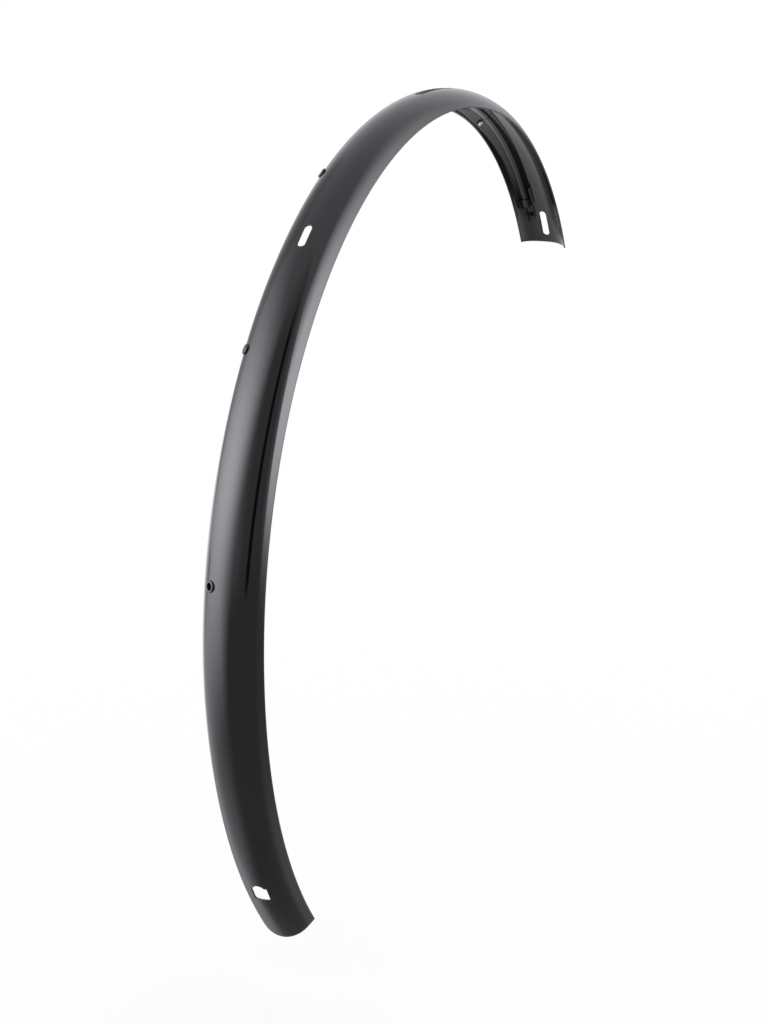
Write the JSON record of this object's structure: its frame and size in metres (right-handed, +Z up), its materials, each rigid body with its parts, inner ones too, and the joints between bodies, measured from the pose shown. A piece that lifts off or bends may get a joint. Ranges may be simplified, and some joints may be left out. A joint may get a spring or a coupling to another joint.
{
  "type": "bicycle mudguard",
  "caption": "Rear wheel mudguard: a curved channel-section blade with fixing slots along its crown and a cable cover screwed inside the left wall.",
  "frame": {"origin": "centre of the crown slot, on the blade's outer skin", "axes": "+X forward, +Y to the left along the wheel axle, +Z up"},
  "size_m": [0.6688, 0.0492, 0.6293],
  "materials": {
    "blade_paint": "black gloss paint on aluminium sheet",
    "cover_plastic": "satin black moulding",
    "screw_steel": "bright zinc plate",
    "bush_plastic": "satin black moulding",
    "grommet_rubber": "smooth black rubber"
  },
  "bodies": {
    "root": {"blade": "blade_paint", "end_clip": "cover_plastic", "cable_cover_1": "cover_plastic", "cable_cover_2": "cover_plastic", "cable_cover_3": "cover_plastic", "cover_screws": "screw_steel", "bushes": "bush_plastic", "cable_grommet": "grommet_rubber"}
  },
  "joints": []
}
